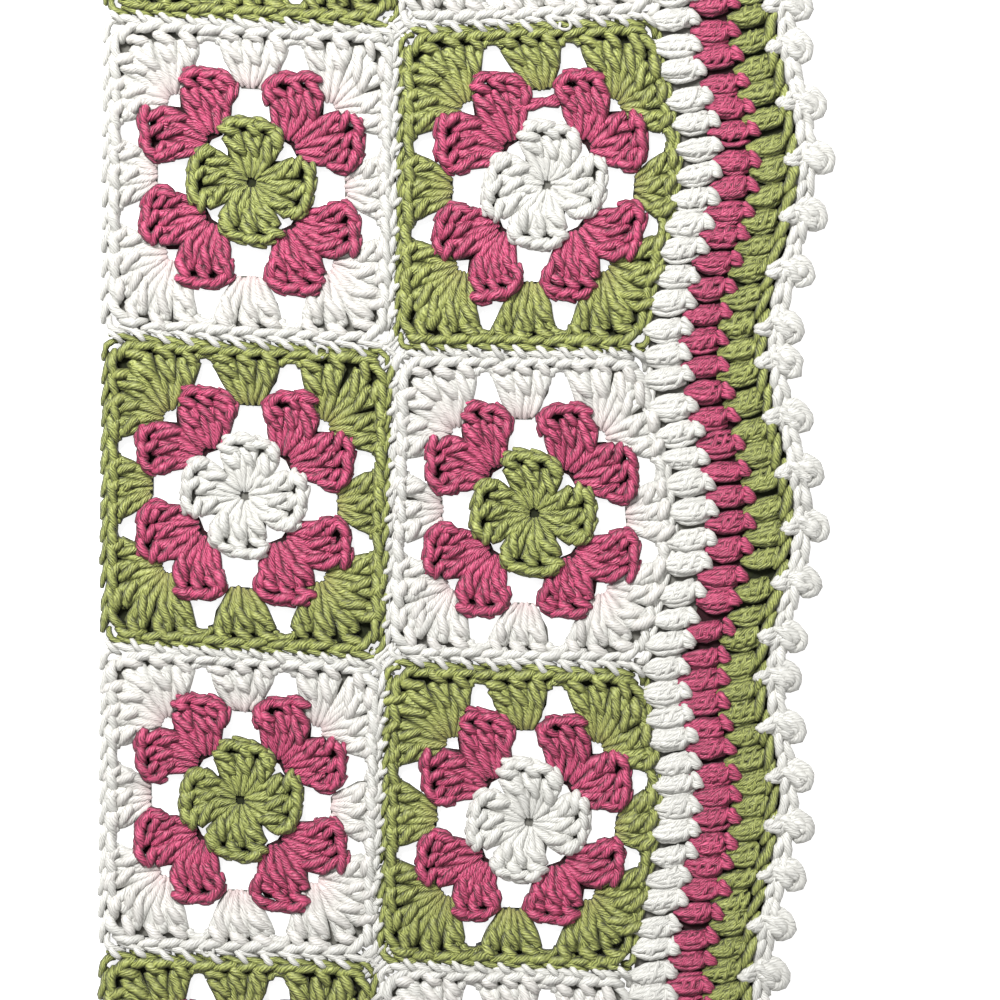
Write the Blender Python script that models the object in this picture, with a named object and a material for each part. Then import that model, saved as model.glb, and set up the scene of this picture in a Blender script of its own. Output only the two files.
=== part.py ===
# Granny square blanket: a cut length of it, two squares wide and five long, along its bordered edge.
#
# Units are metres and +Z is up. X runs across the blanket towards the border, and Y runs along it.
# The tables below are in millimetres, from a point near the middle of the cloth. The finished
# blanket lies with its underside at Z = 0 and with its box centred on the Z axis.

import math
from collections import namedtuple

import bpy
from mathutils import Vector

MM = 0.001

BLANKET_NAME = "granny_square_blanket"

SQUARE_THICKNESS = 4.5
ROUND_THICKNESS = 5.0
EDGING_THICKNESS = 4.5
PIECE_GAP = 0.3

YARN_COLOURS = {
    "white": (0.86, 0.86, 0.82, 1.0),
    "pink": (0.60, 0.07, 0.20, 1.0),
    "green": (0.36, 0.45, 0.10, 1.0),
}
YARN_ROUGHNESS = 0.85

# The lines on which rows of squares meet, from the top edge down to the bottom edge: the line's height at
# the left edge, at the seam between the two columns and at the border, with the place of the first two.
RowLine = namedtuple("RowLine", "left_x left_y seam_x seam_y border_y")
ROW_LINES = [
    RowLine(-131.0, 263.0, -32.0, 261.0, 262.5),
    RowLine(-131.7, 162.0, -33.7, 157.3, 160.7),
    RowLine(-132.3, 55.7, -35.3, 50.0, 49.3),
    RowLine(-132.7, -47.7, -38.3, -53.3, -56.0),
    RowLine(-133.0, -150.0, -40.7, -154.0, -157.3),
    RowLine(-133.3, -254.0, -42.7, -256.7, -256.0),
]

# The middle line of the pink round, which swells beside each square and draws in at each seam.
BorderPoint = namedtuple("BorderPoint", "y x")
BORDER_LINE = [
    BorderPoint(262.7, 72.0),
    BorderPoint(210.3, 79.0),
    BorderPoint(161.7, 71.3),
    BorderPoint(111.7, 78.7),
    BorderPoint(51.7, 68.2),
    BorderPoint(-6.7, 77.0),
    BorderPoint(-58.0, 68.0),
    BorderPoint(-100.0, 72.3),
    BorderPoint(-160.0, 63.3),
    BorderPoint(-206.7, 68.7),
    BorderPoint(-256.5, 62.7),
]

# Where each round of the border begins and ends, across from the middle line of the pink round. The edging
# follows them, out to the chain line that its picots stand on.
BorderRound = namedtuple("BorderRound", "name yarn inner outer")
BORDER_ROUNDS = [
    BorderRound("border_white", "white", -18.3, -7.0),
    BorderRound("border_pink", "pink", -7.0, 6.3),
    BorderRound("border_green", "green", 6.3, 20.0),
]
EDGING_INNER = 20.0
EDGING_CHAIN = 25.6

# How many straight steps a curved edge takes beside each square.
STEPS_PER_SQUARE = 12

# Picots beside each square, from the top down: the height of the first, their spacing and their number.
PicotRun = namedtuple("PicotRun", "first step count")
PICOT_RUNS = [
    PicotRun(255.3, 17.9, 6),
    PicotRun(151.7, 18.7, 6),
    PicotRun(46.7, 18.3, 6),
    PicotRun(-58.3, 16.5, 7),
    PicotRun(-173.3, 17.3, 5),
]
PICOT_RADIUS = 4.4
PICOT_MIDDLE = 29.6
PICOT_LEAN = 1.6
PICOT_ARC_POINTS = 6

# Every square is drawn once, on this half width and half height, and then fitted between its seams.
HALF_WIDTH = 48.7
HALF_HEIGHT = 53.3

# Each square as it lies: its yarns, its middle, how far the stitches at the middle of each side lean along
# that side, and the gaps at the foot of each corner's pink shells and at their heads, going round from the
# upper left corner. A gap of 0 is pulled shut.
Square = namedtuple("Square", "column row yarn x y north east south west feet heads")
SQUARES = [
    Square("left", 0, "green", -82.0, 210.3, 1.0, -1.0, -1.0, 1.5, (4.2, 4.6, 0, 4.6), (4.4, 0, 4.2, 4.6)),
    Square("left", 1, "white", -83.0, 106.0, -0.7, -0.7, 0.3, 1.7, (0, 4.7, 5.0, 0), (0, 0, 4.2, 4.6)),
    Square("left", 2, "green", -85.3, 1.3, 2.0, -1.0, -1.7, 3.0, (0, 4.8, 5.8, 4.4), (4.0, 4.0, 0, 4.8)),
    Square("left", 3, "white", -86.7, -100.0, 0.5, -0.3, -0.3, 0.5, (4.0, 4.2, 0, 0), (0, 0, 4.2, 4.0)),
    Square("left", 4, "green", -88.0, -202.7, 1.2, -0.8, 0.5, 1.0, (4.4, 0, 4.6, 4.2), (4.0, 4.2, 4.4, 0)),
    Square("right", 0, "white", 16.3, 210.7, -0.8, -1.2, 0.6, 0.8, (0, 4.4, 4.8, 4.2), (0, 4.6, 4.0, 4.2)),
    Square("right", 1, "green", 15.7, 105.3, 1.0, -1.5, -1.8, -1.8, (4.2, 4.2, 5, 5.4), (4.2, 0, 4, 5)),
    Square("right", 2, "white", 11.7, -4.3, -2.3, -1.8, -1.0, 0.0, (0, 0, 4.0, 5.2), (0, 5.0, 4.2, 4.0)),
    Square("right", 3, "green", 10.0, -107.3, -0.7, -2.6, -3.4, -1.0, (4.2, 4.8, 4.2, 4.8), (4, 4, 0, 0)),
    Square("right", 4, "white", 7.0, -207.3, -1.2, -0.8, 0.8, 0.6, (4.2, 4.4, 0, 4.6), (4.4, 0, 4.6, 4.0)),
]

# The gaps along each side: how far along the side their middle lies, their width nearest the middle of the
# square, halfway and farthest out, how far out they begin and end, and how far the stitches bow into them.
SideGap = namedtuple("SideGap", "along near_width mid_width far_width near far bow")
MIDDLE_GAP = SideGap(0.0, 13.0, 10.6, 8.8, 21.0, 31.0, -0.6)
TALL_SHELL_GAP = SideGap(13.7, 11.0, 8.0, 3.0, 37.0, 47.0, 0.7)
WIDE_SHELL_GAP = SideGap(14.8, 14.6, 11.0, 4.0, 34.8, 44.4, 0.7)

# The small gaps on a square's diagonals, by their place in the square as it is drawn.
FOOT_GAP_AT = (10.9, 12.2)
HEAD_GAP_AT = (25.8, 27.2)
CORNER_GAP_AT = (43.6, 47.8)
CORNER_GAP_WIDTH = 4.4
SMALL_GAP_SIDES = 5

# How wide a part of the square leans with the middle of a side, and how far out that middle lies.
LEAN_REACH = 17.0
LEAN_AT = 27.0


def clear_objects():
    for item in list(bpy.data.objects):
        bpy.data.objects.remove(item, do_unlink=True)


def yarn_material(name, yarn):
    material = bpy.data.materials.new(name)
    material.use_nodes = True
    shader = material.node_tree.nodes["Principled BSDF"]
    shader.inputs["Base Color"].default_value = YARN_COLOURS[yarn]
    shader.inputs["Roughness"].default_value = YARN_ROUGHNESS
    shader.inputs["Metallic"].default_value = 0.0
    material.diffuse_color = YARN_COLOURS[yarn]
    return material


def border_x(y):
    """The middle line of the pink round at a height: a smooth curve through the points of BORDER_LINE."""
    y = min(max(y, BORDER_LINE[-1].y), BORDER_LINE[0].y)
    last = len(BORDER_LINE) - 1
    start = 0
    while start < last - 1 and y < BORDER_LINE[start + 1].y:
        start += 1
    before = BORDER_LINE[max(start - 1, 0)]
    upper = BORDER_LINE[start]
    lower = BORDER_LINE[start + 1]
    after = BORDER_LINE[min(start + 2, last)]
    span = upper.y - lower.y
    t = (upper.y - y) / span
    slope_upper = (lower.x - before.x) / (before.y - lower.y) * span
    slope_lower = (after.x - upper.x) / (upper.y - after.y) * span
    return (
        (2 * t**3 - 3 * t**2 + 1) * upper.x
        + (t**3 - 2 * t**2 + t) * slope_upper
        + (3 * t**2 - 2 * t**3) * lower.x
        + (t**3 - t**2) * slope_lower
    )


def square_edges(square, t):
    """The points on a square's left and right edges at height t, from -1 at its foot to 1 at its head."""
    above = ROW_LINES[square.row]
    below = ROW_LINES[square.row + 1]
    left_above = Vector((above.left_x, above.left_y))
    left_below = Vector((below.left_x, below.left_y))
    seam_above = Vector((above.seam_x, above.seam_y))
    seam_below = Vector((below.seam_x, below.seam_y))
    rise = (1 + t) / 2
    seam = seam_below.lerp(seam_above, rise)
    if square.column == "left":
        return left_below.lerp(left_above, rise), seam
    right_y = below.border_y + (above.border_y - below.border_y) * rise
    right_x = border_x(right_y) + BORDER_ROUNDS[0].inner
    return seam, Vector((right_x, right_y))


def lean(square, place):
    """How far a place in a square is carried along the nearest side by the lean of that side's stitches."""
    sides = (
        (Vector((0, LEAN_AT)), Vector((square.north, 0))),
        (Vector((LEAN_AT, 0)), Vector((0, square.east))),
        (Vector((0, -LEAN_AT)), Vector((square.south, 0))),
        (Vector((-LEAN_AT, 0)), Vector((0, square.west))),
    )
    total = Vector((0, 0))
    for middle, shift in sides:
        distance = (place - middle).length / LEAN_REACH
        total += shift * math.exp(-(distance**2))
    return total


def fitted(square, place):
    """A place in the square as drawn, moved to where it lies between this square's seams."""
    s = place.x / HALF_WIDTH
    t = place.y / HALF_HEIGHT
    left, right = square_edges(square, t)
    point = left.lerp(right, (1 + s) / 2)
    left, right = square_edges(square, 0)
    off_middle = Vector((square.x, square.y)) - left.lerp(right, 0.5)
    return point + (off_middle + lean(square, place)) * (1 - s**2) * (1 - t**2)


def square_rim(square):
    """The square's own edge as drawn, half a piece gap inside the seams. Beside the border it is a curve."""
    x = HALF_WIDTH - PIECE_GAP / 2
    y = HALF_HEIGHT - PIECE_GAP / 2
    steps = STEPS_PER_SQUARE if square.column == "right" else 1
    right_side = [Vector((x, y * (2 * step / steps - 1))) for step in range(steps + 1)]
    return right_side + [Vector((-x, y)), Vector((-x, -y))]


def turned(points, quarter_turns):
    """Points turned about the square's middle by quarter turns to the right."""
    for _ in range(quarter_turns):
        points = [Vector((point.y, -point.x)) for point in points]
    return points


def side_gap(gap, side_of_middle):
    """A gap on the upper side: narrower outwards, with its near edge bowed by the stitches under it."""
    middle = gap.along * side_of_middle
    halfway = (gap.near + gap.far) / 2
    return [
        Vector((middle - gap.near_width / 2, gap.near)),
        Vector((middle - gap.mid_width / 2, halfway)),
        Vector((middle - gap.far_width / 2, gap.far)),
        Vector((middle + gap.far_width / 2, gap.far)),
        Vector((middle + gap.mid_width / 2, halfway)),
        Vector((middle + gap.near_width / 2, gap.near)),
        Vector((middle, gap.near + gap.bow)),
    ]


def diagonal_gap(place, width, right, up):
    """A small many-sided gap on a diagonal: right and up are 1 or -1 and choose the corner."""
    outwards = Vector((place[0] * right, place[1] * up)).normalized()
    across = Vector((-outwards.y, outwards.x))
    middle = Vector((place[0] * right, place[1] * up))
    radius = width / 2
    turns = [2 * math.pi * step / SMALL_GAP_SIDES for step in range(SMALL_GAP_SIDES)]
    return [middle + (outwards * math.cos(turn) + across * math.sin(turn)) * radius for turn in turns]


def square_gaps(square):
    """Every gap over 4 mm in a square as drawn: three along each side, then those on the diagonals."""
    gaps = []
    for side in range(4):
        shell_gap = TALL_SHELL_GAP if side % 2 == 0 else WIDE_SHELL_GAP
        gaps.append(turned(side_gap(MIDDLE_GAP, 1), side))
        gaps.append(turned(side_gap(shell_gap, -1), side))
        gaps.append(turned(side_gap(shell_gap, 1), side))
    corners = ((-1, 1), (1, 1), (1, -1), (-1, -1))
    for (right, up), foot_width, head_width in zip(corners, square.feet, square.heads):
        if foot_width:
            gaps.append(diagonal_gap(FOOT_GAP_AT, foot_width, right, up))
        if head_width:
            gaps.append(diagonal_gap(HEAD_GAP_AT, head_width, right, up))
        gaps.append(diagonal_gap(CORNER_GAP_AT, CORNER_GAP_WIDTH, right, up))
    return gaps


def border_heights():
    """Heights down the border from the top edge to the bottom edge, in even steps beside each square."""
    heights = [ROW_LINES[0].border_y]
    for above, below in zip(ROW_LINES, ROW_LINES[1:]):
        fall = (below.border_y - above.border_y) / STEPS_PER_SQUARE
        heights += [above.border_y + fall * (step + 1) for step in range(STEPS_PER_SQUARE)]
    return heights


def border_outline(inner, outer):
    """A round of the border: down its inner side and back up its outer side, clear of its neighbours."""
    heights = border_heights()
    down = [Vector((border_x(y) + inner + PIECE_GAP / 2, y)) for y in heights]
    up = [Vector((border_x(y) + outer - PIECE_GAP / 2, y)) for y in reversed(heights)]
    return down + up


def picot_heights():
    """The height of each picot, from the top down."""
    heights = []
    for run in PICOT_RUNS:
        heights += [run.first - run.step * step for step in range(run.count)]
    return heights


def picot(y):
    """A picot's loop, from its upper root round its tip to its lower root, leaning down a little."""
    root_x = border_x(y) + EDGING_CHAIN
    middle = Vector((border_x(y) + PICOT_MIDDLE, y - PICOT_LEAN))
    loop = [Vector((root_x, y + PICOT_RADIUS))]
    for step in range(PICOT_ARC_POINTS):
        turn = math.pi / 2 - math.pi * step / (PICOT_ARC_POINTS - 1)
        loop.append(middle + Vector((math.cos(turn), math.sin(turn))) * PICOT_RADIUS)
    loop.append(Vector((root_x, y - PICOT_LEAN - PICOT_RADIUS)))
    return loop


def edging_outline():
    """The edging: down its chain line with a picot at every second stitch, and back up its inner side."""
    heights = border_heights()
    outer = [Vector((border_x(heights[0]) + EDGING_CHAIN, heights[0]))]
    for y in picot_heights():
        outer += picot(y)
    outer.append(Vector((border_x(heights[-1]) + EDGING_CHAIN, heights[-1])))
    inner = [Vector((border_x(y) + EDGING_INNER + PIECE_GAP / 2, y)) for y in reversed(heights)]
    return outer + inner


def flat_piece(name, yarn, outlines, thickness, collection):
    """One flat solid from closed outlines in millimetres: the first is its edge and the others are gaps."""
    curve = bpy.data.curves.new(name, "CURVE")
    curve.dimensions = "2D"
    curve.fill_mode = "BOTH"
    curve.extrude = thickness / 2 * MM
    for outline in outlines:
        spline = curve.splines.new("POLY")
        spline.points.add(len(outline) - 1)
        for spline_point, place in zip(spline.points, outline):
            spline_point.co = (place.x * MM, place.y * MM, 0, 1)
        spline.use_cyclic_u = True
    curve.materials.append(yarn_material(name + "_yarn", yarn))
    piece = bpy.data.objects.new(name, curve)
    piece.location.z = thickness / 2 * MM
    collection.objects.link(piece)
    return piece


def centre_on_origin(pieces, outlines):
    """Slides the pieces so that the box around their outlines is centred on the Z axis."""
    xs = [point.x for outline in outlines for point in outline]
    ys = [point.y for outline in outlines for point in outline]
    for piece in pieces:
        piece.location.x = -(min(xs) + max(xs)) / 2 * MM
        piece.location.y = -(min(ys) + max(ys)) / 2 * MM


def main():
    clear_objects()
    collection = bpy.data.collections.new(BLANKET_NAME)
    bpy.context.scene.collection.children.link(collection)
    pieces = []
    edges = []

    for square in SQUARES:
        drawn = [square_rim(square)] + square_gaps(square)
        outlines = [[fitted(square, place) for place in outline] for outline in drawn]
        name = f"square_{square.column}_{square.row + 1}"
        pieces.append(flat_piece(name, square.yarn, outlines, SQUARE_THICKNESS, collection))
        edges.append(outlines[0])

    for side_round in BORDER_ROUNDS:
        outline = border_outline(side_round.inner, side_round.outer)
        pieces.append(flat_piece(side_round.name, side_round.yarn, [outline], ROUND_THICKNESS, collection))
        edges.append(outline)

    outline = edging_outline()
    pieces.append(flat_piece("picot_edging", "white", [outline], EDGING_THICKNESS, collection))
    edges.append(outline)

    centre_on_origin(pieces, edges)


main()
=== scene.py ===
# Granny square blanket, stitch by stitch: every post, chain loop, seam stitch and picot is a strand of yarn.
# Lengths are in millimetres while the stitches are laid out, and in metres once they are in a mesh.

import math

import bpy
import numpy as np
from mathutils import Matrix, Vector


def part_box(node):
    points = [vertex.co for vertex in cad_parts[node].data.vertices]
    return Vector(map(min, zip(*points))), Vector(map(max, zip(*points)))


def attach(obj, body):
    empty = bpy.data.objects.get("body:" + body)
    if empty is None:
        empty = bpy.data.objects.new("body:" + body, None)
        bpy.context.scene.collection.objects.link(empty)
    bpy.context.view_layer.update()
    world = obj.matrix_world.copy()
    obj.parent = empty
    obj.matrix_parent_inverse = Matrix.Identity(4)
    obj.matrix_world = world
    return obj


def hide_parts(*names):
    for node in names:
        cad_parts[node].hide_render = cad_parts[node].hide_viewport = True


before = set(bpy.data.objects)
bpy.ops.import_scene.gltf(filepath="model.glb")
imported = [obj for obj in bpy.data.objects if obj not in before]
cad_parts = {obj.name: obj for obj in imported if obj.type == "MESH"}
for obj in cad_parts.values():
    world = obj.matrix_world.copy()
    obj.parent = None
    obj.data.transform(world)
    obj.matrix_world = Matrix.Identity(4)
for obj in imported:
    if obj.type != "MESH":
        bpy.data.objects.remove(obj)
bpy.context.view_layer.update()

mm = 0.001
seeds = dict(squares=100, border=200, edging=300, sewing=400)   # each square and border round adds its number

# The cloth's layout, in the same tables as the solids.

# Lines on which rows of squares meet, from the top down: left x, left y, seam x, seam y, border y.
rowLines = np.array([
    (-131.0, 263.0, -32.0, 261.0, 262.5),
    (-131.7, 162.0, -33.7, 157.3, 160.7),
    (-132.3, 55.7, -35.3, 50.0, 49.3),
    (-132.7, -47.7, -38.3, -53.3, -56.0),
    (-133.0, -150.0, -40.7, -154.0, -157.3),
    (-133.3, -254.0, -42.7, -256.7, -256.0),
])
leftEnds, seamEnds, borderYs = rowLines[:, 0:2], rowLines[:, 2:4], rowLines[:, 4]

# The middle line of the border's pink round, from the bottom up: y, x.
borderLine = np.array([
    (-256.5, 62.7), (-206.7, 68.7), (-160.0, 63.3), (-100.0, 72.3), (-58.0, 68.0), (-6.7, 77.0),
    (51.7, 68.2), (111.7, 78.7), (161.7, 71.3), (210.3, 79.0), (262.7, 72.0),
])

# The yarns of a square's three rounds, from the middle out. Neighbouring squares have different orders.
yarnOrders = (("white", "pink", "green"), ("green", "pink", "white"))

# Each column's squares, from the top down: where the square's middle lies, and how far the stitches at the
# middle of its upper, right, lower and left side lean along that side.
columns = dict(
    left=(
        ((-82.0, 210.3), (1.0, -1.0, -1.0, 1.5)),
        ((-83.0, 106.0), (-0.7, -0.7, 0.3, 1.7)),
        ((-85.3, 1.3), (2.0, -1.0, -1.7, 3.0)),
        ((-86.7, -100.0), (0.5, -0.3, -0.3, 0.5)),
        ((-88.0, -202.7), (1.2, -0.8, 0.5, 1.0)),
    ),
    right=(
        ((16.3, 210.7), (-0.8, -1.2, 0.6, 0.8)),
        ((15.7, 105.3), (1.0, -1.5, -1.8, -1.8)),
        ((11.7, -4.3), (-2.3, -1.8, -1.0, 0.0)),
        ((10.0, -107.3), (-0.7, -2.6, -3.4, -1.0)),
        ((7.0, -207.3), (-1.2, -0.8, 0.8, 0.6)),
    ),
)
squares = [
    dict(column=column, row=row, yarns=yarnOrders[(number + row) % 2], middle=middle, leans=leans)
    for number, (column, places) in enumerate(columns.items())
    for row, (middle, leans) in enumerate(places)
]

layout = dict(
    halfWidth=48.7,      # a square as drawn, from its middle to its seams
    halfHeight=53.3,
    leanReach=17.0,      # how wide a part of a square leans with the middle of a side
    leanAt=27.0,         # how far out that middle is
    borderInner=-18.3,   # where the border begins, across from the pink round's middle line
    seamInset=0.15,      # how far inside its seams a solid ends
)

# The solids are centred on the origin, so the tables are shifted by the middle of the cloth.
cornerLow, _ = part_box("square_left_5")
middleOfCloth = np.array([
    leftEnds[-1, 0] + layout["seamInset"] - cornerLow.x / mm,
    seamEnds[-1, 1] + layout["seamInset"] - cornerLow.y / mm,
])


def borderX(y):
    # Cubic Hermite curve through borderLine, with each slope taken from the points on both sides.
    y = np.clip(y, borderLine[0, 0], borderLine[-1, 0])
    last = len(borderLine) - 1
    start = np.clip(np.searchsorted(borderLine[:, 0], y, side="right") - 1, 0, last - 1)
    before, after = borderLine[np.maximum(start - 1, 0)], borderLine[np.minimum(start + 2, last)]
    low, high = borderLine[start], borderLine[start + 1]
    span = high[..., 0] - low[..., 0]
    t = (y - low[..., 0]) / span
    slopeLow = (high[..., 1] - before[..., 1]) / (high[..., 0] - before[..., 0]) * span
    slopeHigh = (after[..., 1] - low[..., 1]) / (after[..., 0] - low[..., 0]) * span
    return (
        (2 * t**3 - 3 * t**2 + 1) * low[..., 1] + (t**3 - 2 * t**2 + t) * slopeLow
        + (3 * t**2 - 2 * t**3) * high[..., 1] + (t**3 - t**2) * slopeHigh
    )


def squareEdges(square, t):
    # The left and right edge at height t: straight lines between the row lines' ends, or the border's curve.
    above, below = rowLines[square["row"]], rowLines[square["row"] + 1]
    line = below + (above - below) * ((1 + t) / 2)[..., None]
    if square["column"] == "left":
        return line[..., 0:2], line[..., 2:4]
    y = line[..., 4]
    return line[..., 2:4], np.stack([borderX(y) + layout["borderInner"], y], -1)


def fitToSquare(square, places):
    # Places in the square as drawn, laid between its seams: a ruled surface between its two edges, plus the
    # shift of its middle and the lean of its sides, which both fade to nothing at the seams.
    s, t = places[..., 0] / layout["halfWidth"], places[..., 1] / layout["halfHeight"]
    left, right = squareEdges(square, t)
    point = left + (right - left) * ((1 + s) / 2)[..., None]
    middleLeft, middleRight = squareEdges(square, np.zeros(1))
    shift = np.array(square["middle"]) - (middleLeft[0] + middleRight[0]) / 2
    lean = np.zeros(places.shape)
    for turns, along in enumerate(square["leans"]):
        away = places - turned((0, layout["leanAt"]), turns)
        distance = np.linalg.norm(away, axis=-1) / layout["leanReach"]
        lean[..., turns % 2] += np.exp(-(distance**2)) * along
    fade = (1 - np.clip(s, -1, 1) ** 2) * (1 - np.clip(t, -1, 1) ** 2)
    return point + (shift + lean) * fade[..., None]


# A strand of yarn is the one shape that everything is made of.
strandShape = dict(
    sides=6,
    roundness=1.07,      # makes up for the few sides
    wander=0.13,         # how unevenly the yarn lies
    lumps=0.07,          # how uneven its thickness is
    tip=0.6,             # how far its ends are drawn out, in radii
    # how far the tips count as facing up sets the painted shade that they get
    tipRise=-0.2,        # how far its ends count as facing up
    windingStart=40.0,   # the plies' winding starts anywhere within so many millimetres
)
# The angles are half a step off, so that one corner of a ring points straight up.
ringAngles = (np.arange(strandShape["sides"]) + 0.5) * 2 * math.pi / strandShape["sides"]


def unit(vectors):
    # The same directions at a length of one.
    return vectors / (np.linalg.norm(vectors, axis=-1, keepdims=True) + 1e-9)


def leftOf(direction):
    # A quarter turn to the left.
    return np.stack([-direction[..., 1], direction[..., 0]], -1)


def steps(shape):
    # Even steps from 0 to 1 along a strand.
    return np.linspace(0, 1, shape["points"])[None]


def arch(q, low=0.0, power=1.0):
    # Rises from low at q = 0 to 1 halfway and falls back to low at q = 1, as a sine to a power.
    return low + (1 - low) * np.sin(np.pi * np.clip(q, 0, 1)) ** power


def makeStrands(places, heights, radii, blush=0.0, flat=1.0):
    # One bundle: places (strands, points, 2), heights and radii (strands, points), all in millimetres.
    # flat under 1 presses the strands wide and low, and none sinks below the surface that the cloth lies on.
    shape = places.shape[:2]
    radii = np.broadcast_to(radii, shape) * strandShape["roundness"]
    heights = np.maximum(np.broadcast_to(heights, shape), radii * math.sqrt(flat))
    line = np.concatenate([places, heights[..., None]], -1)
    return dict(line=line, radius=radii, blush=np.broadcast_to(blush, shape), flat=flat)


def madeUneven(bundle, rng):
    # Moves each point a little and changes the thickness there, but nothing sinks below the surface.
    line = bundle["line"] + rng.normal(0, strandShape["wander"], bundle["line"].shape)
    radius = bundle["radius"] * rng.normal(1, strandShape["lumps"], bundle["radius"].shape)
    line[..., 2] = np.maximum(line[..., 2], radius * math.sqrt(bundle["flat"]))
    return dict(bundle, line=line, radius=radius)


def strandSurface(bundle):
    # Carries a ring along each line. The ring lies across the line: its width runs level and its height runs
    # up, so with a for the angle round the line a point is line + (width*cos(a) + height*sin(a))*radius.
    line, radius = bundle["line"], bundle["radius"]
    forward = unit(np.gradient(line, axis=1))
    level = unit(np.cross(forward, (0.0, 0.0, 1.0)))
    upward = np.cross(level, forward)
    press = math.sqrt(bundle["flat"])
    wide = level[:, :, None] * (np.cos(ringAngles) / press)[:, None]
    high = upward[:, :, None] * (np.sin(ringAngles) * press)[:, None]
    body = line[:, :, None] + (wide + high) * radius[:, :, None, None]
    tips = radius[:, [0, -1]] * np.array((-1, 1)) * strandShape["tip"]
    ends = line[:, [0, -1]] + forward[:, [0, -1]] * tips[..., None]
    vertices = np.concatenate([body.reshape(len(line), -1, 3), ends], 1)
    step = np.linalg.norm(np.diff(line, axis=1), axis=-1)
    along = np.concatenate([np.zeros((len(line), 1)), np.cumsum(step, 1)], 1)
    return vertices, along


def strandFaces(points):
    # Corners of one strand's faces, and for the UV map the point and the side that each corner lies at: quads
    # from ring to ring, then triangles from the first and the last ring to their tips.
    sides = strandShape["sides"]
    n, j = (grid.ravel() for grid in np.meshgrid(np.arange(points - 1), np.arange(sides), indexing="ij"))
    pointAt = np.stack([n, n + 1, n + 1, n], 1).ravel()
    sideAt = np.stack([j, j, j + 1, j + 1], 1).ravel()
    j = np.arange(sides)
    caps = np.array([np.stack([j, j, j + 1], 1), np.stack([j, j + 1, j], 1)])
    uvPoint = np.concatenate([pointAt, np.repeat([0, points - 1], 3 * sides)])
    uvSide = np.concatenate([sideAt, caps.ravel()])
    corners = uvPoint * sides + uvSide % sides
    corners[len(pointAt):].reshape(caps.shape)[..., 0] = points * sides + np.array([[0], [1]])   # the tips
    sizes = np.repeat([4, 3], [len(n), 2 * sides])
    return corners, uvPoint, uvSide, sizes


def meshPiece(name, vertices, corners, sizes, smooth):
    # A piece from whole arrays: vertices in the tables' millimetres, corners face after face, and face sizes.
    vertices = np.array(vertices, float)
    vertices[:, :2] -= middleOfCloth
    mesh = bpy.data.meshes.new(name)
    mesh.vertices.add(len(vertices))
    mesh.vertices.foreach_set("co", (vertices * mm).astype(np.float32).ravel())
    mesh.loops.add(len(corners))
    mesh.loops.foreach_set("vertex_index", corners.astype(np.int32))
    mesh.polygons.add(len(sizes))
    mesh.polygons.foreach_set("loop_start", (np.cumsum(sizes) - sizes).astype(np.int32))
    mesh.update(calc_edges=True)
    mesh.polygons.foreach_set("use_smooth", np.full(len(sizes), smooth))
    piece = bpy.data.objects.new(name, mesh)
    bpy.context.scene.collection.objects.link(piece)
    return piece


def yarnPiece(name, bundles, rng):
    # Joins every strand of every bundle in one mesh, with a UV map of millimetres along each strand and turns
    # round it, and for each point a tint, a blush and how far it faces up from its strand, from -1 to 1, which
    # sets how much painted shade darkens the strand's lower sides.
    sides, tipRise = strandShape["sides"], strandShape["tipRise"]
    vertices, corners, uvs, sizes, tints, blushes, rises = [], [], [], [], [], [], []
    base = 0
    for bundle in bundles:
        count, points = bundle["radius"].shape
        body, along = strandSurface(madeUneven(bundle, rng))
        faceCorners, uvPoint, uvSide, faceSizes = strandFaces(points)
        perStrand = points * sides + 2
        corners.append((base + np.arange(count)[:, None] * perStrand + faceCorners).ravel())
        sizes.append(np.tile(faceSizes, count))
        u = along[:, uvPoint] + rng.uniform(0, strandShape["windingStart"], (count, 1))
        v = uvSide[None] / sides + rng.uniform(0, 1, (count, 1))
        uvs.append(np.stack([u, v], -1).ravel())
        vertices.append(body.reshape(-1, 3))
        tints.append(np.broadcast_to(rng.normal(0, 1, (count, 1)), (count, perStrand)).ravel())
        blush = np.concatenate([np.repeat(bundle["blush"], sides, 1), bundle["blush"][:, [0, -1]]], 1)
        blushes.append(blush.ravel())
        rises.append(np.tile(np.concatenate([np.tile(np.sin(ringAngles), points), [tipRise, tipRise]]), count))
        base += count * perStrand
    piece = meshPiece(name, np.concatenate(vertices), np.concatenate(corners), np.concatenate(sizes), True)
    layer = piece.data.uv_layers.new(name="strand")
    layer.uv.foreach_set("vector", np.concatenate(uvs).astype(np.float32))
    for attributeName, values in (("tint", tints), ("blush", blushes), ("rise", rises)):
        attribute = piece.data.attributes.new(attributeName, "FLOAT", "POINT")
        attribute.data.foreach_set("value", np.concatenate(values).astype(np.float32))
    piece.data.update()
    return piece


# A double crochet seen from the front: two legs, two wraps of yarn across them and a shoulder beside those.
# Each wrap, and the shoulder, is its start and end along the post, its height and its radius.
postShape = dict(
    points=7, footJitter=0.112, headJitter=0.28, widthJitter=0.05, bowJitter=0.25,
    legEnd=0.88, legHeight=1.9, legRise=0.4, legSpread=0.47, legRadius=0.56, legThinnest=0.55, legFlat=0.85,
    wraps=((1.07, 0.82, 2.2, 1.72), (0.86, 0.42, 2.0, 1.60)),
    wrapReach=0.84, wrapArch=1.5, wrapTaper=0.38, wrapBlush=0.1,
    shoulder=(0.44, 0.86, 2.3, 1.15), shoulderArch=0.5,
    usualWidth=7.2,   # the width at which the wraps have their given radius
)


def laidAcross(feet, along, across, t, offset):
    # Places at foot + along*t + across*offset.
    return feet[:, None] + along[:, None] * t[..., None] + across[:, None] * offset[..., None]


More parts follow.
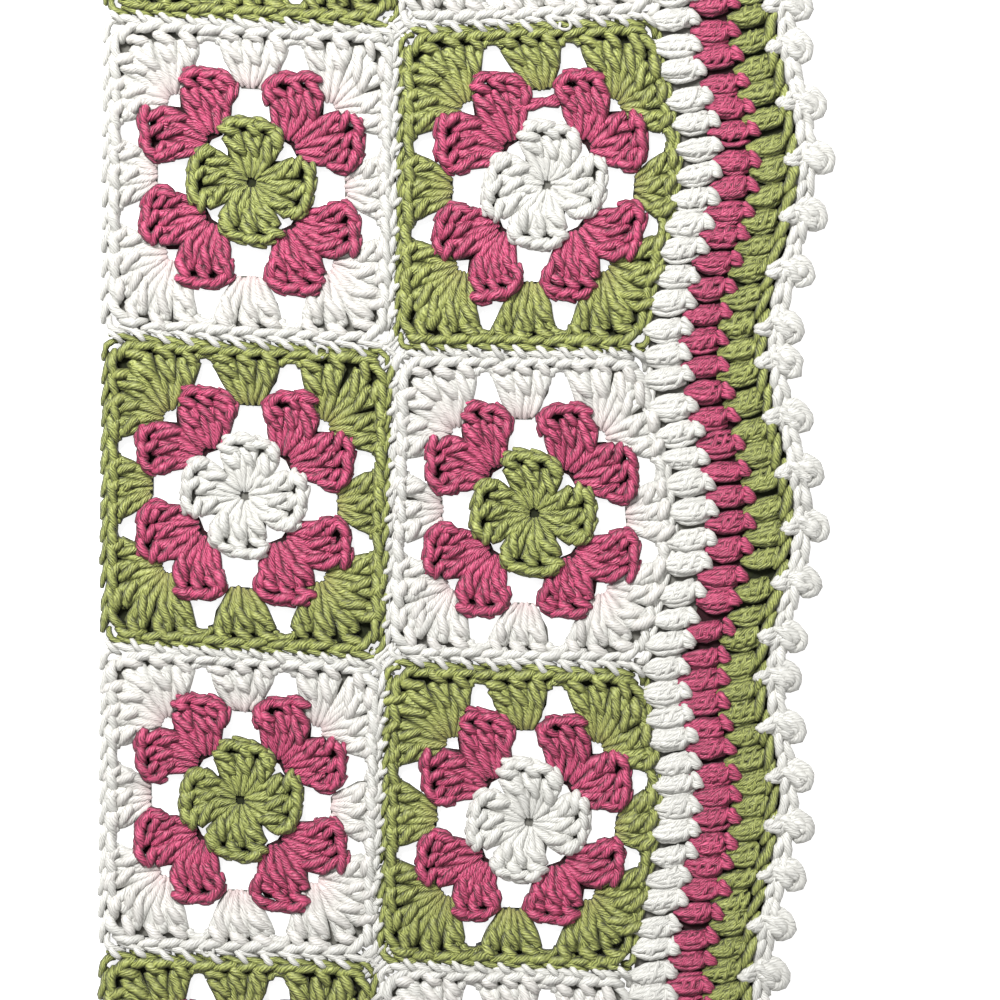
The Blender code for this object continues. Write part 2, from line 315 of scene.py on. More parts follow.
def postStrands(feet, heads, headWidths, bows, group, rng):
    # The post's width grows from footWidth to headWidth as t to a power, and bows moves its middle sideways by
    # a half sine. Each wrap runs from the left edge at its start down to the right edge at its end.
    shape, count = postShape, len(feet)
    footWidth, lift, blush = (group[key] for key in ("footWidth", "lift", "blush"))
    feet = feet + rng.normal(0, shape["footJitter"], feet.shape)
    heads = heads + rng.normal(0, shape["headJitter"], heads.shape)
    along = heads - feet
    across = -leftOf(unit(along))
    headWidth = (headWidths * rng.normal(1, shape["widthJitter"], count))[:, None]
    bows = bows[:, None] + rng.normal(0, shape["bowJitter"], (count, 1))

    def halfWidth(t):
        return (footWidth + (headWidth - footWidth) * np.clip(t, 0.001, 1) ** group["power"]) / 2

    def placesAt(t, offset):
        return laidAcross(feet, along, across, t, offset + bows * np.sin(np.pi * np.clip(t, 0, 1)))

    bundles = []
    q = steps(shape)
    t = shape["legEnd"] * q + np.zeros((count, 1))
    half = halfWidth(t)
    for side in (-1, 1):
        z = shape["legHeight"] + shape["legRise"] * t + lift + rng.normal(0, 0.12, (count, 1))
        radii = np.maximum(half * shape["legRadius"], shape["legThinnest"]) * arch(t * 0.85 + 0.08, 0.82, 0.5)
        places = placesAt(t, side * half * shape["legSpread"])
        bundles.append(makeStrands(places, z, radii, blush * (1 - t) ** 4, shape["legFlat"]))
    thickness = (headWidth / shape["usualWidth"]) ** 0.7
    for start, end, height, radius in shape["wraps"]:
        t = start + (end - start) * q + rng.normal(0, 0.025, (count, 1))
        offset = halfWidth(t) * (2 * q - 1) * shape["wrapReach"]
        z = height + lift + shape["wrapArch"] * arch(q, 0, 0.7) + rng.normal(0, 0.1, (count, 1))
        radii = radius * thickness * arch(q, shape["wrapTaper"], 0.5)
        bundles.append(makeStrands(placesAt(t, offset), z, radii, blush * shape["wrapBlush"]))
    start, end, height, radius = shape["shoulder"]
    t = start + (end - start) * q + rng.normal(0, 0.03, (count, 1))
    z = height + lift + shape["shoulderArch"] * arch(q)
    radii = radius * thickness * arch(q, 0.6, 0.6)
    bundles.append(makeStrands(placesAt(t, halfWidth(t) * (0.50 + 0.20 * q)), z, radii))
    return bundles


def isClosed(path):
    # A closed line ends where it starts.
    return np.array_equal(path[0], path[-1])


def distances(path):
    # How far along a line its points lie, by adding up its steps.
    return np.concatenate([[0], np.cumsum(np.linalg.norm(np.diff(path, axis=0), axis=1))])


def onPath(path, distance):
    # The place and the leftward normal at a distance along a line. On a closed line the distance goes round.
    at = distances(path)

    def place(d):
        d = d % at[-1] if isClosed(path) else d
        return np.stack([np.interp(d, at, axis) for axis in path.T], -1)

    return place(distance), leftOf(unit(place(distance + 0.8) - place(distance - 0.8)))


loopShape = dict(points=7, reach=1.34, dip=0.75, rise=1.7, fall=0.35, past=0.5)


def loopRow(path, row, rng, lift=0.0, drop=None):
    # A row of loops along a line. Each is reach stitches long, slants by twice slant from the right of the
    # work to its left, rises as an arch, and dives under the next. drop lowers the loops at given places, and
    # past is how far the row goes beyond the ends of an open line.
    count, total = row["count"], distances(path)[-1]
    pitch = total / count
    q = steps(loopShape)
    starts = np.arange(count)[:, None] * pitch + rng.normal(0, 0.3, (count, 1))
    distance = starts + pitch * (loopShape["reach"] * q - (loopShape["reach"] - 1) / 2)
    if not isClosed(path):
        past = row.get("past", loopShape["past"])
        distance = np.clip(distance, -past, total + past)
    place, leftward = onPath(path, distance)
    offset = row["slant"] * (2 * q - 1) + rng.normal(0, 0.15, (count, 1))
    z = row["height"] + lift - loopShape["dip"]
    z = z + loopShape["rise"] * arch(q * 0.95 + 0.02, 0, 0.8) - loopShape["fall"] * q
    if drop is not None:
        z = z - drop(place)
    radii = row["radius"] * arch(q * 0.92 + 0.04, 0.42, 0.5) * rng.normal(1, 0.06, (count, 1))
    return makeStrands(place + leftward * offset[..., None], z, radii)


def outward(path, distance):
    # A line beside another, so far to the right of the work.
    return path - leftOf(unit(np.gradient(path, axis=0))) * distance


backLine = dict(points=12, length=26.0, overlap=0.02, radius=1.15, height=1.2)


def backStrand(path, radius=backLine["radius"], height=backLine["height"]):
    # The plain line of yarn behind a row of loops, in even lengths that overlap a little.
    total = distances(path)[-1]
    count = max(2, int(total / backLine["length"]))
    q = np.linspace(-backLine["overlap"], 1 + backLine["overlap"], backLine["points"])[None]
    distance = (np.arange(count)[:, None] + q) * total / count
    if not isClosed(path):
        distance = np.clip(distance, 0, total)
    return makeStrands(onPath(path, distance)[0], height, radius)


def turned(places, turns):
    # Turned to the right about the square's middle, in quarter turns.
    places = np.asarray(places, float)
    for _ in range(turns):
        places = -leftOf(places)
    return places


def overDiagonal(places):
    # From the upper side of the upper left corner to its left side, and back in the order of work.
    return -np.asarray(places, float)[::-1, ::-1]


# Each group of three posts for the upper side of a square, from right to left: the posts' feet and heads, and
# the line that the chain loops along their tops follow. blush is how far the feet are tinted pink, and patch
# is the outline of the backs of its stitches.
flowerGroup = dict(
    feet=((1.1, 1.5), (0.0, 1.7), (-1.1, 1.5)), heads=((8.6, 15.4), (0.7, 18.0), (-7.3, 17.0)),
    footWidth=1.9, headWidth=(8.2, 7.4, 8.0), power=0.60, lift=0.35, blush=0.0, bows=(0.2, 0, -0.2),
    band=((9.7, 13.6), (8.6, 16.4), (6.0, 18.0), (2.4, 18.9), (-1.8, 19.4), (-5.8, 19.2), (-8.8, 17.6)),
    patch=((0, 0), (7.8, 7.8), (8.8, 14.4), (5.0, 18.4), (-5.2, 19.0), (-8.2, 16.4), (-7.8, 7.8)),
)
pinkShell = dict(
    feet=((-10.2, 15.8), (-11.8, 15.0), (-13.4, 15.2)), heads=((-9.4, 31.4), (-15.2, 33.4), (-21.0, 32.6)),
    footWidth=2.8, headWidth=(6.9, 6.8, 8.0), power=0.42, lift=0.2, blush=0.0, bows=(0.5, -0.3, -2.2),
    band=((-7.8, 26.0), (-6.4, 28.6), (-6.4, 31.6), (-8.6, 33.8), (-11.4, 34.8), (-15.0, 34.6), (-19.2, 35.3),
          (-22.8, 33.8)),
    patch=((-9.4, 15.2), (-7.6, 24), (-7.0, 30.6), (-9.2, 33.6), (-21.0, 34.0), (-23.4, 32.2), (-24.0, 27.2),
           (-23.8, 23.8), (-13.2, 13.2)),
)
middleGroup = dict(
    feet=((2.4, 31.9), (0.0, 31.4), (-2.4, 31.9)), heads=((8.3, 48.4), (0.0, 48.8), (-8.3, 48.4)),
    footWidth=2.9, headWidth=8.0, power=0.55, lift=0.0, blush=0.5, bows=(0.5, 0, -0.5),
    patch=((3.2, 31.2), (9.4, 40.0), (11.4, 48.6), (-11.4, 48.6), (-9.4, 40.0), (-3.2, 31.2)),
)
cornerGroup = dict(
    feet=((-24.4, 28.4), (-25.7, 27.9), (-26.9, 27.9)), heads=((-20.4, 48.4), (-29.6, 48.9), (-39.2, 47.4)),
    footWidth=2.6, headWidth=(8.3, 8.5, 8.8), power=0.58, lift=0.0, blush=0.5, bows=(0.3, 0, -0.9),
    patch=((-24.6, 29.4), (-17.0, 48.6), (-38.0, 49.4), (-42.4, 47.4), (-44.6, 42.0), (-44.8, 37.0),
           (-44.2, 16.8), (-27.6, 27.0)),
)
sideHeads = 44.3 / 47.0   # the outer posts are shorter at the sides than at the top and bottom
groupUnevenness = dict(lean=0.028, size=0.018)   # in radians, and as a share of the group's size
# The two loops of each stitch along a group's top: the outer ones on its band, and the inner ones beside it.
groupRows = (
    dict(aside=0.0, count=4, slant=0.8, radius=1.75, height=3.2),
    dict(aside=1.4, count=4, slant=-0.7, radius=1.2, height=2.4, past=-1.2),
)


def groupStrands(group, rng, turns, mirror, reach):
    # The strands of one group, for the side of the square that so many quarter turns lead to. Each group is
    # swung about its foot by a small angle and scaled there: foot + size * rotation(lean) * (place - foot).
    def laid(key, scale=1.0):
        places = np.array(group[key], float) * np.array((1.0, scale))
        return overDiagonal(places) if mirror else places

    widths, bows = np.broadcast_to(group["headWidth"], 3), np.array(group["bows"], float)
    if mirror:
        widths, bows = widths[::-1], -bows[::-1]
    bundles = postStrands(laid("feet"), laid("heads", reach), widths, bows, group, rng)
    if "band" in group:
        band = laid("band")
        bundles += [loopRow(outward(band, row["aside"]), row, rng, lift=group["lift"]) for row in groupRows]
        bundles.append(backStrand(band))
    lean, size = rng.normal(0, groupUnevenness["lean"]), rng.normal(1, groupUnevenness["size"])
    swing = size * np.array([[math.cos(lean), -math.sin(lean)], [math.sin(lean), math.cos(lean)]])
    foot = laid("feet").mean(0)
    for bundle in bundles:
        bundle["line"][..., :2] = turned(foot + (bundle["line"][..., :2] - foot) @ swing, turns)
    return bundles


# The two loops of the last round's stitches: the front ones near the posts, the back ones near the seams.
outerRows = dict(
    front=dict(x=45.2, y=49.7, corner=8.0, count=50, slant=1.15, radius=1.75, height=3.15),
    back=dict(x=47.6, y=52.1, corner=3.5, count=50, slant=-1.3, radius=1.3, height=2.9),
)
pressedDown = dict(depth=1.3, start=41.0, reach=3.0)   # how far and where the border presses on those loops
gapTop = dict(points=7, x=14.3, reach=3.6, low=45.6, high=47.9, power=0.8, radius=1.6, height=2.2)


def roundedPath(row):
    # A closed rounded oblong in the order of work: along the top to the left, down, to the right and up again.
    x, y, r = row["x"] - row["corner"], row["y"] - row["corner"], row["corner"]
    turn = np.linspace(0, math.pi / 2, 7)
    path = []
    for quarter, centre in enumerate(((x, y), (-x, y), (-x, -y), (x, -y))):
        a = turn + quarter * math.pi / 2
        path.append(centre + r * np.stack([np.cos(a), np.sin(a)], 1))
    return np.concatenate([*path, path[0][:1]])


def underBorder(place):
    # How far a loop is pressed down by the border's first round: a ramp from start on, over reach.
    return pressedDown["depth"] * np.clip((place[..., 0] - pressedDown["start"]) / pressedDown["reach"], 0, 1)


def gapArches():
    # The strand that closes each gap under the chain: a half ellipse from one group's head to the next.
    angle = np.linspace(0, math.pi, gapTop["points"])
    bundles = []
    for turns in range(4):
        for side in (-1, 1):
            x = side * gapTop["x"] + gapTop["reach"] * np.cos(angle)
            y = gapTop["low"] + (gapTop["high"] - gapTop["low"]) * np.sin(angle) ** gapTop["power"]
            y = y * (sideHeads if turns % 2 else 1.0)
            places = turned(np.stack([x, y], -1)[None], turns)
            bundles.append(makeStrands(places, gapTop["height"], gapTop["radius"]))
    return bundles


# One link of pink yarn between two shells: its round and square, and the places that its strands go through.
pinkLink = dict(
    at=("middle", "right", 1), points=7, radius=1.55, height=2.7, rise=0.6,
    strands=(((-10.0, 25.4), (-4.2, 25.6), (4.6, 28.4)), ((-9.6, 27.6), (-3.6, 27.2), (4.8, 26.4))),
)


def linkStrands():
    # Straight from place to place, and upwards an arch.
    q = np.linspace(0, 2, pinkLink["points"])
    places = [[np.interp(q, (0, 1, 2), axis) for axis in zip(*strand)] for strand in pinkLink["strands"]]
    z = pinkLink["height"] + pinkLink["rise"] * arch(q / 2)[None]
    return makeStrands(np.array(places).transpose(0, 2, 1), z, pinkLink["radius"])


# The groups of each round on one side of a square, and whether they are mirror images over its corner.
roundGroups = dict(
    centre=((flowerGroup, False),),
    middle=((pinkShell, False), (pinkShell, True)),
    outer=((middleGroup, False), (cornerGroup, False), (cornerGroup, True)),
)


def roundStrands(name, square, rng):
    # The groups on all four sides, one square's link, and all that runs along the outer round's edge.
    bundles = [linkStrands()] if (name, square["column"], square["row"]) == pinkLink["at"] else []
    for turns in range(4):
        for group, mirror in roundGroups[name]:
            reach = sideHeads if name == "outer" and (turns + mirror) % 2 else 1.0
            bundles += groupStrands(group, rng, turns, mirror, reach)
    if name == "outer":
        drop = underBorder if square["column"] == "right" else None
        bundles += gapArches()
        bundles += [loopRow(roundedPath(row), row, rng, drop=drop) for row in outerRows.values()]
        bundles.append(backStrand(roundedPath(outerRows["front"])))
    return bundles


# Stitch backs under the last round's loops, from inner times the front loops' line to the back loops' line.
# They stop short of the corners, where both x and y are beyond corner, and of the border.
edgeBacks = dict(inner=(0.965, 0.97), corner=(36.0, 40.0), border=40.0)


def stripsBetween(inner, outer):
    # The oblongs between the steps of two lines.
    return np.stack([inner[:-1], outer[:-1], outer[1:], inner[1:]], 1)


def edgeStrips(square):
    # The outlines of one square's strips under its loops.
    front, back = roundedPath(outerRows["front"]), roundedPath(outerRows["back"])
    strips = stripsBetween(front * np.array(edgeBacks["inner"]), back)
    middles = (front[:-1] + front[1:]) / 2
    isLeftOut = (np.abs(middles) > np.array(edgeBacks["corner"])).all(1)
    if square["column"] == "right":
        isLeftOut |= middles[:, 0] > edgeBacks["border"]
    return list(strips[~isLeftOut])


def patchOutlines(group):
    # The outlines of a group's stitch backs on the four sides of the square, where a shell's are mirrored over
    # the corners too. The corner group's are mirror images of each other.
    patch = np.array(group["patch"])
    if group is cornerGroup:
        return [patch * flip for flip in ((1, 1), (-1, 1), (-1, -1), (1, -1))]
    drawn = [patch, overDiagonal(patch)] if group is pinkShell else [patch]
    return [turned(outline, turns) for turns in range(4) for outline in drawn]


# The yarns' colours: on the ridges of the plies, the yarn's own colour lifted by painted highlight; in the
# grooves between plies, painted shade; a stitch's foot beside the pink round, tinted pink; and deep between
# stitches, painted shade. The flank value is how bright the painted shade leaves a strand's lower sides, a low
# narrow makes the grooves thin, and grooveDepth is in millimetres.
yarnColours = dict(
    white=dict(ridge=(0.730, 0.722, 0.680), grooveShade=(0.225, 0.218, 0.190), blush=(0.70, 0.44, 0.46),
               deepShade=(0.17, 0.165, 0.145), flankShade=0.82, grooveDepth=0.14, narrow=0.30),
    pink=dict(ridge=(0.76, 0.106, 0.240), grooveShade=(0.090, 0.002, 0.015), blush=(0.62, 0.10, 0.20),
              deepShade=(0.010, 0.001, 0.002), flankShade=0.01, grooveDepth=0.26, narrow=0.70),
    green=dict(ridge=(0.485, 0.53, 0.152), grooveShade=(0.052, 0.064, 0.006), blush=(0.36, 0.30, 0.10),
               deepShade=(0.007, 0.009, 0.002), flankShade=0.01, grooveDepth=0.26, narrow=0.70),
)
# How much the ridges' and fibres' painted highlight, the blush, the tints and the patches show, and over what
# part of its rise the painted shade on a strand's lower side fades out.
yarnFinish = dict(
    plies=9, twist=-0.075, roughness=0.48, sheen=0.08, flankShade=(0.34, 0.94),
    ridges=0.62, fibres=0.80, darker=-0.28, blush=0.9, tint=0.035, patches=0.30, shade=0.84,
)
# The plies stray by wander, in turns, and are worn down to flat here and there. A pair is a contrast and an
# offset.
winding = dict(
    wanderScale=260.0, wander=0.30, wornScale=420.0, worn=(3.0, -0.8), flat=0.62, patchScale=90.0,
    fibreAlong=0.28, fibreAcross=0.62, fibreScale=2.0, fibreRoughness=0.7, fibre=(2.6, -0.8), fibreHeight=0.7,
)
# The painted shade deep between stitches: noise scale, contrast and offset of its patches, how far the
# grooves' colour is darkened, and its relief depth in millimetres and roughness.
backFinish = dict(scale=700.0, patches=(1.6, -0.5), grooveShade=0.5, depth=0.3, roughness=0.95)


def setInputs(tree, node, values):
    # Gives a node's inputs, by name or number, their numbers, their colours or other nodes' sockets.
    for key, value in values.items():
        if isinstance(value, bpy.types.NodeSocket):
            tree.links.new(value, node.inputs[key])
        else:
            node.inputs[key].default_value = (*value, 1.0) if isinstance(value, tuple) else value


def addNode(tree, kind, values, **settings):
    # The outputs of a new node.
    node = tree.nodes.new("ShaderNode" + kind)
    for name, setting in settings.items():
        setattr(node, name, setting)
    setInputs(tree, node, values)
    return node.outputs


def mathNode(tree, operation, *values, clamp=False):
    # What an operation makes of numbers or sockets.
    return addNode(tree, "Math", dict(enumerate(values)), operation=operation, use_clamp=clamp)[0]


def noiseNode(tree, place, scale, detail, rough=0.5):
    # Soft random patches, from 0 to 1.
    values = {"Vector": place, "Scale": scale, "Detail": detail, "Roughness": rough}
    return addNode(tree, "TexNoise", values)["Fac"]


def mixColour(tree, share, first, second, blend="MIX"):
    # A mix of two colours.
    return addNode(tree, "Mix", {0: share, 6: first, 7: second}, data_type="RGBA", blend_type=blend)[2]


def pointValue(tree, name):
    # One of the values that each point of a piece has.
    return addNode(tree, "Attribute", {}, attribute_name=name)["Fac"]


def pliesGroup():
    # Plies wound round a strand: the phase is plies * (turns round + twist * millimetres along), and each ply
    # is a sine across its share of the phase to the power Narrow, which fades here and there. Fibres run along
    # the plies.
    tree = bpy.data.node_groups.new("windingPlies", "ShaderNodeTree")
    sockets = (("INPUT", ("Plies", "Twist", "Narrow")), ("OUTPUT", ("Height", "Ridge", "Fibre", "Patch")))
    for way, names in sockets:
        for name in names:
            tree.interface.new_socket(name=name, in_out=way, socket_type="NodeSocketFloat")
    given = tree.nodes.new("NodeGroupInput").outputs
    along, around, _ = addNode(tree, "SeparateXYZ", {0: addNode(tree, "UVMap", {}, uv_map="strand")[0]})
    place = addNode(tree, "TexCoord", {})["Object"]
    turn = mathNode(tree, "ADD", around, mathNode(tree, "MULTIPLY", along, given["Twist"]))
    wander = noiseNode(tree, place, winding["wanderScale"], 2.0)
    turn = mathNode(tree, "MULTIPLY_ADD", wander, winding["wander"], turn)
    phase = mathNode(tree, "MULTIPLY", turn, given["Plies"])
    wave = mathNode(tree, "SINE", mathNode(tree, "MULTIPLY", phase, 2 * math.pi))
    wave = mathNode(tree, "MULTIPLY_ADD", wave, 0.4995, 0.50)   # stays above nothing, for the power
    ridge = mathNode(tree, "POWER", wave, given["Narrow"])
    worn = noiseNode(tree, place, winding["wornScale"], 2.0)
    worn = mathNode(tree, "MULTIPLY_ADD", worn, *winding["worn"], clamp=True)
    ridge = mathNode(tree, "SUBTRACT", ridge, winding["flat"])
    ridge = mathNode(tree, "MULTIPLY_ADD", ridge, worn, winding["flat"])
    fibreX = mathNode(tree, "MULTIPLY", along, winding["fibreAlong"])
    fibreY = mathNode(tree, "MULTIPLY", phase, winding["fibreAcross"])
    fibreAt = addNode(tree, "CombineXYZ", {0: fibreX, 1: fibreY})[0]
    fibre = noiseNode(tree, fibreAt, winding["fibreScale"], 3.0, winding["fibreRoughness"])
    fibre = mathNode(tree, "MULTIPLY_ADD", fibre, *winding["fibre"], clamp=True)
    fibre = mathNode(tree, "POWER", fibre, given["Narrow"])
    patch = noiseNode(tree, place, winding["patchScale"], 2.0)
    height = mathNode(tree, "MULTIPLY_ADD", fibre, winding["fibreHeight"], ridge)
    results = {"Height": height, "Ridge": ridge, "Fibre": fibre, "Patch": patch}
    setInputs(tree, tree.nodes.new("NodeGroupOutput"), results)
    return tree


def newMaterial(name):
    # A material, its node tree and its own shader.
    material = bpy.data.materials.new(name)
    material.use_nodes = True
    return material, material.node_tree, material.node_tree.nodes["Principled BSDF"]


def relief(tree, height, depth):
    # The normals of a surface that is so many millimetres deep where height is nothing.
    return addNode(tree, "Bump", {"Height": height, "Distance": depth * mm})[0]


def yarnMaterial(name, colours, plies):
    # From the grooves' painted shade to the ridges' colour with painted highlight by plies and fibres, blushed
    # at a stitch's foot, then all times a tone that differs from strand to strand and from place to place, and
    # times a painted shade that darkens the strand's lower sides.
    material, tree, shader = newMaterial(name)
    finish = yarnFinish
    twist = {"Plies": finish["plies"], "Twist": finish["twist"], "Narrow": colours["narrow"]}
    wound = addNode(tree, "Group", twist, node_tree=plies)
    # The share of the ridges' colour: painted highlight on ridges and fibres, painted shade in the grooves
    # between.
    light = mathNode(tree, "MULTIPLY_ADD", wound["Ridge"], finish["ridges"], finish["darker"])
    light = mathNode(tree, "MULTIPLY_ADD", wound["Fibre"], finish["fibres"], light, clamp=True)
    base = mixColour(tree, light, colours["grooveShade"], colours["ridge"])
    blush = mathNode(tree, "MULTIPLY", pointValue(tree, "blush"), finish["blush"], clamp=True)
    base = mixColour(tree, blush, base, colours["blush"])
    shade = mathNode(tree, "MULTIPLY_ADD", pointValue(tree, "tint"), finish["tint"], finish["shade"])
    shade = mathNode(tree, "MULTIPLY_ADD", wound["Patch"], finish["patches"], shade)
    low, high = finish["flankShade"]
    # Painted shade: a strand's sides darken smoothly the less they face up.
    side = {"Value": pointValue(tree, "rise"), "From Min": low, "From Max": high, "To Min": colours["flankShade"]}
    side = addNode(tree, "MapRange", side, interpolation_type="SMOOTHSTEP")[0]
    shade = mathNode(tree, "MULTIPLY", shade, side)
    setInputs(tree, shader, {
        "Base Color": mixColour(tree, 1.0, base, shade, "MULTIPLY"),
        "Normal": relief(tree, wound["Height"], colours["grooveDepth"]),
        "Roughness": finish["roughness"], "Sheen Weight": finish["sheen"],
    })
    return material


def shadedBackMaterial(name, colours):
    # Painted shade deep between the stitches: patches of the yarn's deep colour and of its grooves' colour,
    # darkened.
    material, tree, shader = newMaterial(name)
    noise = noiseNode(tree, addNode(tree, "TexCoord", {})["Object"], backFinish["scale"], 3.0, 0.6)
    patch = mathNode(tree, "MULTIPLY_ADD", noise, *backFinish["patches"], clamp=True)
    grooveShade = tuple(value * backFinish["grooveShade"] for value in colours["grooveShade"])
    setInputs(tree, shader, {
        "Base Color": mixColour(tree, patch, colours["deepShade"], grooveShade),
        "Normal": relief(tree, noise, backFinish["depth"]), "Roughness": backFinish["roughness"],
    })
    return material


plies = pliesGroup()
yarns = {name: yarnMaterial(name + "Yarn", colours, plies) for name, colours in yarnColours.items()}
shadedBacks = {name: shadedBackMaterial(name + "ShadedBacks", colours) for name, colours in yarnColours.items()}


pieces = []
outlines = {name: [] for name in yarnColours}


def addPiece(name, bundles, rng, yarn, *nodes):
    # Adds a piece of one yarn, and hides the solids that it takes the place of.
    piece = yarnPiece(name, bundles, rng)
    piece.data.materials.append(yarns[yarn])
    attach(piece, "root")
    if nodes:
        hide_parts(*nodes)
    pieces.append(piece)


for index, square in enumerate(squares):
    rng = np.random.default_rng(seeds["squares"] + index)
    node = f"square_{square['column']}_{square['row'] + 1}"
    for roundName, yarn in zip(roundGroups, square["yarns"]):
        bundles = roundStrands(roundName, square, rng)
        for bundle in bundles:
            bundle["line"][..., :2] = fitToSquare(square, bundle["line"][..., :2])
        addPiece(f"{node}_{roundName}", bundles, rng, yarn, node)
    rounds = [patchOutlines(group) for group in (flowerGroup, pinkShell, middleGroup)]
    rounds[-1] += patchOutlines(cornerGroup) + edgeStrips(square)
    for yarn, drawn in zip(square["yarns"], rounds):
        outlines[yarn] += [fitToSquare(square, outline) for outline in drawn]
print("squares crocheted:", len(squares), "with", sum(len(p.data.polygons) for p in pieces), "faces")

# The stitches beside each square, from the top down, and how near to both ends the rounds' shifts fade.
border = dict(stitches=(12, 13, 12, 13, 12), fade=60.0, linePoints=240)
# Each round's posts lie across the border, from foot to head, and slant on the way. shift moves them along the
# border, and knob is where the head's loop shows.
borderRounds = (
    dict(name="border_white", yarn="white", foot=-20.6, head=-7.6, slant=1.6, shift=4.0, knob=-6.0, lift=0.8),
    dict(name="border_pink", yarn="pink", foot=-8.0, head=4.4, slant=0.8, shift=0.0, knob=6.9, lift=0.5),
    dict(name="border_green", yarn="green", foot=4.6, head=16.9, slant=2.6, shift=-3.4, knob=None, lift=0.4),
)
borderBacks = (2.0, 4.4)   # how far beyond the feet and the heads a round's stitch backs begin and end
# A puff: strands that fan out from its foot, as how far each swings out, in shares of the puff's half height,
# its height and radius, and wraps over its broad end: start, end, height and radius.
puffs = dict(
    points=8, halfHeight=3.8, spread=0.50, foot=0.26, narrowing=0.30, sag=0.16,
    strands=((-0.82, 1.1, 1.20), (-0.50, 1.8, 1.30), (-0.16, 2.2, 1.30), (0.16, 2.2, 1.30), (0.50, 1.8, 1.30),
             (0.80, 1.1, 1.20)),
    wraps=(((0.26, -0.74), (0.58, 0.78), 2.4, 1.10), ((0.46, -0.84), (0.82, 0.80), 2.5, 1.15),
           ((0.74, -0.84), (1.04, 0.62), 2.2, 1.25)),
    strandRise=1.0, wrapRise=1.0,
)
# A knob: strands that meet in a point, each from its start to its end beside the stitch.
knobs = dict(
    points=6, strands=(((-2.0, 3.0), (1.7, -0.6)), ((-2.3, 1.3), (1.6, -1.1)), ((-2.0, -0.4), (1.2, -1.5))),
    height=3.2, rise=1.1, radius=1.50, taper=0.50,
)

stitchYs = np.concatenate([
    top + (bottom - top) * (np.arange(count) + 0.5) / count
    for top, bottom, count in zip(borderYs[:-1], borderYs[1:], border["stitches"])
])
greenLoops = dict(x=18.5, count=len(stitchYs), slant=-1.6, radius=1.85, height=3.3)
lineY = np.linspace(borderYs[0], borderYs[-1], border["linePoints"])


def borderPath(x):
    # The line that runs down the border at a distance x across from the pink round's middle line.
    return np.stack([borderX(lineY) + x, lineY], 1)


def puffStrands(feet, heads, lift, rng):
    # Each strand's offset rises as a quarter sine to its most at the share of the way in spread, and falls a
    # little beyond that. All sag by a half sine.
    count = len(feet)
    q = steps(puffs)
    along = heads - feet
    across = leftOf(unit(along)) * puffs["halfHeight"] * rng.normal(1, 0.07, (count, 1))
    fan = puffs["foot"] + (1 - puffs["foot"]) * np.sin(np.pi / 2 * np.clip(q / puffs["spread"], 0, 1))
    fan = fan - puffs["narrowing"] * np.clip(q - puffs["spread"], 0, 1) ** 1.5
    sag = puffs["sag"] * arch(q)
    bundles = []
    for most, height, radius in puffs["strands"]:
        offset = (most + rng.normal(0, 0.10, (count, 1))) * fan - sag
        z = height + lift + puffs["strandRise"] * arch(q, 0, 0.5) + rng.normal(0, 0.12, (count, 1))
        radii = radius * arch(0.04 + q * 0.78, 0.30, 0.6) * rng.normal(1, 0.06, (count, 1))
        bundles.append(makeStrands(laidAcross(feet, along, across, q, offset), z, radii))
    for start, end, height, radius in puffs["wraps"]:
        t = start[0] + (end[0] - start[0]) * q + rng.normal(0, 0.03, (count, 1))
        offset = start[1] + (end[1] - start[1]) * q - sag + rng.normal(0, 0.05, (count, 1))
        z = height + lift + puffs["wrapRise"] * arch(q)
        places = laidAcross(feet, along, across, t, offset)
        bundles.append(makeStrands(places, z, radius * arch(q, 0.4, 0.5)))
    return bundles


def knobStrands(places, rng):
    # Each strand runs straight from its start to its end and tapers.
    count = len(places)
    q = steps(knobs)
    radii = knobs["radius"] * (1 - knobs["taper"] * q) * arch(q * 0.8 + 0.12, 0.4, 0.5)
    z = knobs["height"] + knobs["rise"] * arch(q)
    shift = rng.normal(0, 0.25, (count, 1, 2))
    bundles = []
    for start, end in np.array(knobs["strands"]):
        step = start + (end - start) * q[0][:, None] + shift + rng.normal(0, 0.12, (count, 1, 2))
        bundles.append(makeStrands(places[:, None] + step, z, radii))
    return bundles


for number, part in enumerate(borderRounds):
    rng = np.random.default_rng(seeds["border"] + number)
    fromEnd = np.minimum(lineY[0] - stitchYs, stitchYs - lineY[-1])
    y = stitchYs + part["shift"] * np.minimum(fromEnd / border["fade"], 1) + rng.normal(0, 0.35, len(stitchYs))
    feet, heads = (
        np.stack([borderX(y) + part[end], y + part["slant"] * share], 1) + rng.normal(0, 0.4, (len(y), 2))
        for end, share in (("foot", -0.5), ("head", 0.5))
    )
    bundles = puffStrands(feet, heads, part["lift"], rng)
    if part["knob"] is not None:
        bundles += knobStrands(np.stack([borderX(y) + part["knob"], y], 1), rng)
    else:
        bundles.append(loopRow(borderPath(greenLoops["x"]), greenLoops, rng))
        bundles.append(backStrand(borderPath(greenLoops["x"])))
    addPiece(part["name"] + "_stitches", bundles, rng, part["yarn"], part["name"])
    low, high = part["foot"] + borderBacks[0], part["head"] + borderBacks[1]
    outlines[part["yarn"]] += list(stripsBetween(borderPath(low), borderPath(high)))

# The edging: two rows of loops over a thick strand, and picots in runs of even steps down them, as the first
# one's y, the step and their number. x and backs are distances across from the pink round's middle line.
edgingRows = (
    dict(x=22.4, slant=-0.8, radius=1.75, height=3.0, count=76),
    dict(x=25.2, slant=0.9, radius=1.75, height=2.9, count=68),
)
edging = dict(x=23.8, radius=1.7, height=2.0, shadedBacks=(21.2, 26.0))
picotRuns = ((255.3, 17.9, 6), (151.7, 18.7, 6), (46.7, 18.3, 6), (-58.3, 16.5, 7), (-173.3, 17.3, 5))
picotYs = np.concatenate([first - step * np.arange(count) for first, step, count in picotRuns])
